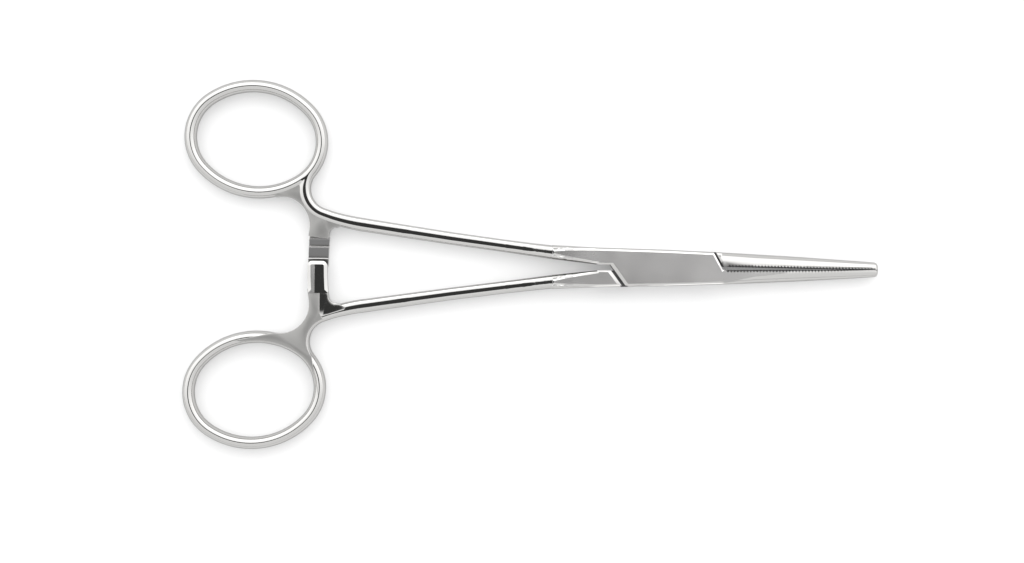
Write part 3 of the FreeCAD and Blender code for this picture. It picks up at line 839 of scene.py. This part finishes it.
@dataclass
class Machined:
    """A crisp machined stretch of a half: the box lock with its jaw, or the ratchet arm.

    Attributes:
        side: which half it belongs to.
        pivot: the pivot's place in the frame, in metres.
        label: what the stretch is called.
        limits: planes that bound it, each as axis, place in millimetres about the pivot in the
            half's own frame, and the side kept.
        rim_width: width of the polished slope round the ground faces, in millimetres.
        rim_drop: how far that slope falls.
        jaw_root: where the jaw starts, ahead of the pivot.
        block_rear: where the ground block's rear end starts, behind the pivot.
        rear_margin: distance from it within which the rims stay flat.
        seam: distance within which a corner lies on a plane.
        groove_width: width of the slope along the serrations that is painted near-black as shade.
        comb_front: where those slopes end, ahead of the pivot.
        pin_margin: radius round the pivot that stays flat.
        cheek_lean: how far the rims along the rear diagonal gap reach into it.
        tooth_round: radius of the ratchet teeth's crests.
        crease: turn of the surface that shows as a crisp edge.
        ground: height of the ground faces over the middle plane.
        strip_edge: where the satin strip on the ratchet arm ends.
        tooth_zone: height under which the ratchet arm's faces belong to its teeth.
        upright: how level a face may be and still count as a wall.
        tooth_level: how level a tooth's flat is.
        rear_level: how level the satin faces behind the ground block are.
        comb_half: how far from the middle line the gripping faces reach.
        comb_margin: how far ahead of the jaw's root they start.
        tongue_reach: how far from the pivot the tongue's hidden faces reach, which are painted
            near-black as shade.
        tongue_zone: height under which they lie.
        grip_margin: how far ahead of the jaw's root the gripping faces, painted dark grey as
            shade, start.
        crest_run: least length of a tooth's crest.
        crest_slant: how far a crest may run aslant.
        crest_zone: height under which the crests lie.
        lean_rear: rear end of the diagonal gap behind the pivot.
        lean_front: front end of that gap.
        weld: distance within which corners of the finished mesh are one.
        cad_weld: distance within which corners of the CAD node are one.
        facet_turn: turn under which the CAD node's triangles are one face.
    """

    side: HalfSide
    pivot: Vector
    label: str
    limits: tuple
    rim_width: float = 0.32
    rim_drop: float = 0.12
    jaw_root: float = 11.45
    block_rear: float = -18.7
    rear_margin: float = 0.1
    seam: float = 0.01
    groove_width: float = 0.11
    comb_front: float = 41.8
    pin_margin: float = 2.0
    cheek_lean: float = 0.37
    tooth_round: float = 0.5
    crease: float = math.radians(32)
    ground: float = 2.25
    strip_edge: float = -70.6
    tooth_zone: float = 1.5
    upright: float = 0.3
    tooth_level: float = 0.98
    rear_level: float = 0.95
    comb_half: float = 0.8
    comb_margin: float = 0.2
    tongue_reach: float = 9.5
    tongue_zone: float = 2.2
    grip_margin: float = 0.15
    crest_run: float = 0.8
    crest_slant: float = 0.3
    crest_zone: float = 0.5
    lean_rear: float = -12.0
    lean_front: float = -7.5
    weld: float = 0.004
    cad_weld: float = 0.002
    facet_turn: float = math.radians(0.2)

    def finish_of(self, face: bmesh.types.BMFace) -> "Finish":
        """The finish of one face of the stretch.

        Args:
            face: the face, in the frame's metres.

        Returns:
            Its finish.
        """
        middle = (face.calc_center_median() - self.pivot) / MM
        height = abs(middle.z)
        level = abs(face.normal.z)
        if self.label == "ratchet":
            tooth = height < self.tooth_zone
            # Painted shade: the slopes of the ratchet teeth get dark grey steel.
            if tooth and self.upright < level < self.tooth_level:
                return Finish.PAINTED_SOFT_SHADE
            satin = (tooth or middle.x < self.strip_edge) and level > self.tooth_level
            return Finish.SATIN if satin else Finish.POLISHED
        gripping = abs(middle.y) < self.comb_half and middle.x > self.jaw_root + self.grip_margin
        # Painted shade: the upright walls of the serrations get dark grey steel.
        if gripping and level < self.upright:
            return Finish.PAINTED_SOFT_SHADE
        in_box = abs(middle.x) < self.tongue_reach and height < self.tongue_zone
        # Painted shade: the tongue's faces inside the box get near-black steel.
        if in_box and self.side.turned_over:
            return Finish.PAINTED_DEEP_SHADE
        satin = level > self.rear_level if middle.x < self.block_rear else self.is_flat(face)
        return Finish.SATIN if satin and middle.x < self.side.satin_front else Finish.POLISHED

    def is_flat(self, face: bmesh.types.BMFace) -> bool:
        """Whether a face is part of a ground flat.

        Args:
            face: the face, in the frame's metres.

        Returns:
            True for such a face.
        """
        height = abs(face.calc_center_median().z - self.pivot.z) / MM
        return abs(height - self.ground) < SAME_HEIGHT and abs(face.normal.z) > LEVEL

    def is_serration(self, edge: bmesh.types.BMEdge) -> bool:
        """Whether an edge is the upper or lower border of the serrated gripping face.

        Args:
            edge: the edge, in the frame's metres.

        Returns:
            True for such an edge.
        """
        if self.label == "ratchet" or len(edge.link_faces) != 2:
            return False
        ends = [(vert.co - self.pivot) / MM for vert in edge.verts]
        comb_rear = self.jaw_root + self.comb_margin
        if any(not comb_rear < end.x < self.comb_front or abs(end.y) > self.comb_half
               for end in ends):
            return False
        return sum(abs(face.normal.z) < self.upright for face in edge.link_faces) == 1

    def part_at(self, cut: bmesh.types.BMesh, place: float) -> None:
        """Parts the faces along a plane across the instrument.

        Args:
            cut: the mesh, in the frame's metres.
            place: the plane's distance ahead of the pivot, in millimetres.
        """
        bmesh.ops.bisect_plane(
            cut, geom=cut.verts[:] + cut.edges[:] + cut.faces[:], dist=CUT_TOLERANCE,
            plane_co=self.pivot + Vector((place * MM, 0, 0)), plane_no=(1, 0, 0))

    def is_tooth_crest(self, edge: bmesh.types.BMEdge) -> bool:
        """Whether an edge is the crest of a ratchet tooth.

        Args:
            edge: the edge, in the frame's metres.

        Returns:
            True for such an edge.
        """
        run = (edge.verts[1].co - edge.verts[0].co) / MM
        height = abs(edge.verts[0].co.z - self.pivot.z) / MM
        across = abs(run.x) > self.crest_run and abs(run.y) < self.crest_slant
        return (self.label == "ratchet" and across and height < self.crest_zone
                and edge.calc_face_angle_signed(0.0) > self.crease)

    def soften_ground(self, cut: bmesh.types.BMesh, up: float) -> None:
        """Lays a narrow polished slope round the ground faces of one side.

        Args:
            cut: the mesh, in the frame's metres.
            up: 1 for the upper side, -1 for the lower.
        """
        ground = []
        for face in cut.faces:
            place = (face.calc_center_median() - self.pivot).x / MM
            on_block = self.label == "ratchet" or self.block_rear < place < self.jaw_root
            if on_block and face.normal.z * up > 0 and self.is_flat(face):
                ground.append(face)
        band = bmesh.ops.inset_region(cut, faces=ground, thickness=self.rim_width * MM, depth=0.0,
                                      use_boundary=True, use_even_offset=True)["faces"]
        inside = set(ground) | set(band)
        rim = {vert for face in band for edge in face.edges
               if not all(other in inside for other in edge.link_faces) for vert in edge.verts}
        signs = self.signs()
        for vert in rim:
            spot = (vert.co - self.pivot) / MM
            at_parting = abs(spot.x - self.block_rear) < self.rear_margin or any(
                abs(spot[axis] * signs[axis] - place) < self.seam
                for axis, place, _ in self.limits)
            at_pin = spot.xy.length < self.pin_margin
            if at_parting or at_pin or spot.x > self.jaw_root - self.seam:
                continue
            vert.co.z -= up * self.rim_drop * MM
            if self.lean_rear < spot.x < self.lean_front:
                vert.co.x -= signs.y * self.cheek_lean * MM

    def signs(self) -> Vector:
        """From the half's own axes to the frame's.

        Returns:
            The sign of each axis.
        """
        flip = -1.0 if self.side.turned_over else 1.0
        return Vector((1.0, flip, flip))

    def trim(self, cut: bmesh.types.BMesh) -> None:
        """Keeps the stretch within its limits and closes the ends.

        Args:
            cut: the mesh, in the frame's metres.
        """
        signs = self.signs()
        for axis, place, keep in self.limits:
            spot = self.pivot.copy()
            spot[axis] += place * MM * signs[axis]
            normal = Vector((0, 0, 0))
            normal[axis] = keep * signs[axis]
            result = bmesh.ops.bisect_plane(
                cut, geom=cut.verts[:] + cut.edges[:] + cut.faces[:], dist=CUT_TOLERANCE,
                plane_co=spot, plane_no=normal, clear_inner=True)
            rim = [item for item in result["geom_cut"]
                   if isinstance(item, bmesh.types.BMEdge) and item.is_boundary]
            bmesh.ops.holes_fill(cut, edges=rim, sides=0)

    def bevel(self, cut: bmesh.types.BMesh, edges: list[bmesh.types.BMEdge], offset: float,
              segments: int) -> set[bmesh.types.BMFace]:
        """Bevels some edges.

        Args:
            cut: the mesh, in the frame's metres.
            edges: the edges.
            offset: size of the bevel, in millimetres.
            segments: number of faces across it.

        Returns:
            The bevel's faces.
        """
        return set(bmesh.ops.bevel(cut, geom=edges, offset=offset * MM, segments=segments,
                                   profile=0.5, affect="EDGES", material=-1,
                                   clamp_overlap=False)["faces"])

    def dress(self, cut: bmesh.types.BMesh, worn: set[bmesh.types.BMFace],
              shade_grooves: set[bmesh.types.BMFace]) -> None:
        """Gives each face its finish and each edge between finishes a crisp line.

        Args:
            cut: the mesh, in the frame's metres.
            worn: the faces of the ratchet teeth's crests.
            shade_grooves: the slopes along the serrations, painted near-black as shade.
        """
        cut.normal_update()
        for face in cut.faces:
            finish = self.finish_of(face)
            # Painted shade: the slopes along the serrations get near-black steel.
            if face in shade_grooves:
                finish = Finish.PAINTED_DEEP_SHADE
            elif face in worn:
                finish = Finish.SATIN
            face.material_index = finish.value.order
            face.smooth = True
        if self.label == "ratchet":
            self.part_at(cut, self.strip_edge)
            for face in filter(self.is_flat, cut.faces):
                face.material_index = self.finish_of(face).value.order
        bmesh.ops.dissolve_degenerate(cut, dist=self.weld * MM, edges=cut.edges)
        cut.normal_update()
        for edge in cut.edges:
            kinds = {(face.material_index, self.is_flat(face)) for face in edge.link_faces}
            edge.smooth = len(kinds) == 1 and edge.calc_face_angle(math.pi) < self.crease

    def build(self) -> bpy.types.Object:
        """Cuts the stretch out of a copy of the CAD node and dresses it.

        Returns:
            The finished object, riding its body.
        """
        cut = bmesh.new()
        cut.from_mesh(frame["nodes"][self.side.node].data)
        bmesh.ops.remove_doubles(cut, verts=cut.verts, dist=self.cad_weld * MM)
        self.trim(cut)
        bmesh.ops.dissolve_limit(cut, angle_limit=self.facet_turn, verts=cut.verts,
                                 edges=cut.edges)
        if self.label != "ratchet":
            self.part_at(cut, self.jaw_root)
        for up in (1.0, -1.0):
            self.soften_ground(cut, up)
        crests = [edge for edge in cut.edges if self.is_tooth_crest(edge)]
        worn = self.bevel(cut, crests, self.tooth_round, 3)
        combs = [edge for edge in cut.edges if self.is_serration(edge)]
        # Bevelled slopes along the serrations, later painted near-black as shade.
        shade_grooves = self.bevel(cut, combs, self.groove_width, 1)
        self.dress(cut, worn, shade_grooves)
        name = f"{self.side.node}_{self.label}"
        data = bpy.data.meshes.new(name)
        cut.to_mesh(data)
        cut.free()
        made = bpy.data.objects.new(name, data)
        bpy.context.scene.collection.objects.link(made)
        for finish in Finish:
            made.data.materials.append(FINISHES[finish])
        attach(made, self.side.body)
        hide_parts(self.side.node)
        return made


@dataclass
class Forceps:
    """The whole instrument.

    Attributes:
        pivot: the pivot's place in the frame, in metres.
        box_limits: where the machined box and jaw end towards the shank.
        arm_limits: where the machined ratchet arm ends towards the jaws and the neck.
        arm_rim: width and fall of the slope round the ratchet arm's flats, in millimetres.
    """

    pivot: Vector
    box_limits: tuple = ((0, -23.0, 1),)
    arm_limits: tuple = ((0, -60.0, -1), (1, 5.6, -1))
    arm_rim: tuple[float, float] = (0.65, 0.2)

    def build(self) -> list[bpy.types.Object]:
        """Builds both halves and dresses the pin.

        Returns:
            Every visible object of the instrument.
        """
        made = []
        for side in Side:
            half = side.value
            made.extend(Handle(half, self.pivot).build())
            made.append(Machined(half, self.pivot, "box_and_jaw", self.box_limits).build())
            made.append(Machined(half, self.pivot, "ratchet", self.arm_limits,
                                 *self.arm_rim).build())
        pin = frame["nodes"]["box_lock_pin"]
        pin.data.materials.clear()
        pin.data.materials.append(FINISHES[Finish.SATIN])
        made.append(pin)
        return made


# The studio

@dataclass
class Studio:
    """Pale floor, soft light from the image's top, and a camera straight above.

    Attributes:
        view_centre: the point of the frame under the camera, in metres.
        camera_height: its height over the floor, in metres.
        roll: how far the camera is turned about its own axis.
        lens: focal length on a 36 mm wide sensor.
        floor_size: side of the square floor, in metres.
        floor_grey: the floor's own brightness.
        floor_glow: what the floor adds where it is seen or mirrored.
        spot: brightness of the dark round patch overhead.
        spot_x: the patch's place along the image, as a direction's X.
        spot_y: its place up the image, as a direction's Y.
        spot_inner: radius within which the patch is full.
        spot_outer: radius outside which it is gone.
        upper_side: brightness of the walls beyond the image's top.
        lower_side: brightness of the walls beyond its bottom.
        horizon: brightness of the walls' foot.
        box_size: sides of the soft box, in metres.
        box_power: power of the soft box, in watts.
        box_place: where the soft box hangs, in metres.
    """

    view_centre: tuple[float, float] = (-0.00369, -0.00298)
    camera_height: float = 0.4523
    roll: float = math.radians(0.5)
    lens: float = 78.6
    floor_size: float = 2.0
    floor_grey: float = 0.62
    floor_glow: float = 0.22
    spot: float = 0.06
    spot_x: float = -0.04
    spot_y: float = 0.0
    spot_inner: float = 0.13
    spot_outer: float = 0.185
    upper_side: float = 2.0
    lower_side: float = 1.15
    horizon: float = 0.8
    box_size: tuple[float, float] = (0.9, 0.35)
    box_power: float = 0.8
    box_place: tuple[float, float, float] = (0.05, 0.45, 0.5)

    def add_camera(self) -> None:
        """Makes the scene's camera."""
        data = bpy.data.cameras.new("camera")
        data.lens = self.lens
        data.sensor_width = 36.0
        data.clip_start, data.clip_end = 0.01, 10.0
        camera = bpy.data.objects.new("camera", data)
        camera.location = (*self.view_centre, self.camera_height)
        camera.rotation_euler = (0, 0, self.roll)
        bpy.context.scene.collection.objects.link(camera)
        bpy.context.scene.camera = camera

    def add_floor(self) -> None:
        """Makes the pale floor that the forceps lie on."""
        mesh = bmesh.new()
        bmesh.ops.create_grid(mesh, x_segments=1, y_segments=1, size=self.floor_size / 2)
        data = bpy.data.meshes.new("floor")
        mesh.to_mesh(data)
        mesh.free()
        floor = bpy.data.objects.new("floor", data)
        material = bpy.data.materials.new("pale_floor")
        material.use_nodes = True
        graph = Graph(material.node_tree)
        ray = graph.node("ShaderNodeLightPath", {})
        seen = graph.math("MAXIMUM", Socket(graph, ray.outputs["Is Camera Ray"]),
                          Socket(graph, ray.outputs["Is Glossy Ray"]))
        seen = graph.math("MAXIMUM", seen, Socket(graph, ray.outputs["Is Transmission Ray"]))
        shader = graph.node("ShaderNodeBsdfPrincipled", {
            "Base Color": (self.floor_grey,) * 3 + (1.0,), "Roughness": 0.9,
            "Specular IOR Level": 0.0,
            "Emission Color": seen, "Emission Strength": self.floor_glow})
        graph.node("ShaderNodeOutputMaterial", {"Surface": Socket(graph, shader.outputs["BSDF"])})
        data.materials.append(material)
        bpy.context.scene.collection.objects.link(floor)

    def add_world(self) -> None:
        """Surrounds: a bright tent, dark overhead where the camera is."""
        world = bpy.data.worlds.new("tent")
        world.use_nodes = True
        bpy.context.scene.world = world
        graph = Graph(world.node_tree)
        up = graph.position("Generated", "Z")
        across = graph.position("Generated", "Y")
        along = graph.position("Generated", "X")
        off_x, off_y = along - self.spot_x, across - self.spot_y
        spread = graph.math("SQRT", off_x * off_x + off_y * off_y)
        overhead = 1.0 - spread.ramp(self.spot_inner, self.spot_outer)
        overhead = overhead * up.ramp(0.0, 0.1)
        side = across.ramp(-0.5, 0.5)
        walls = side * (self.upper_side - self.lower_side) + self.lower_side
        low = up.ramp(0.02, 0.3)
        wall = walls * low + (1.0 - low) * self.horizon
        level = wall * (1.0 - overhead) + overhead * self.spot
        background = graph.node("ShaderNodeBackground", {"Color": level, "Strength": 1.0})
        graph.node("ShaderNodeOutputWorld",
                   {"Surface": Socket(graph, background.outputs["Background"])})

    def add_key(self) -> None:
        """A soft box beyond the top of the image."""
        data = bpy.data.lights.new("soft_box", "AREA")
        data.shape = "RECTANGLE"
        data.size, data.size_y = self.box_size
        data.energy = self.box_power
        light = bpy.data.objects.new("soft_box", data)
        light.location = self.box_place
        light.rotation_euler = (-light.location).to_track_quat("-Z", "Y").to_euler()
        bpy.context.scene.collection.objects.link(light)

    def build(self) -> None:
        """Builds everything round the forceps."""
        self.add_camera()
        self.add_floor()
        self.add_world()
        self.add_key()
        bpy.context.scene.view_settings.view_transform = "Standard"


FINISHES = {finish: finish.value.material() for finish in Finish}


def main() -> None:
    """Builds the forceps and the studio, and reports the pieces."""
    logging.basicConfig(level=logging.INFO)
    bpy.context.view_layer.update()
    pivot = Vector(frame["joints"][0]["pos_m"])
    for piece in Forceps(pivot).build():
        LOG.info("%s: %d vertices", piece.name, len(piece.data.vertices))
    Studio().build()


if __name__ == "__main__":
    main()
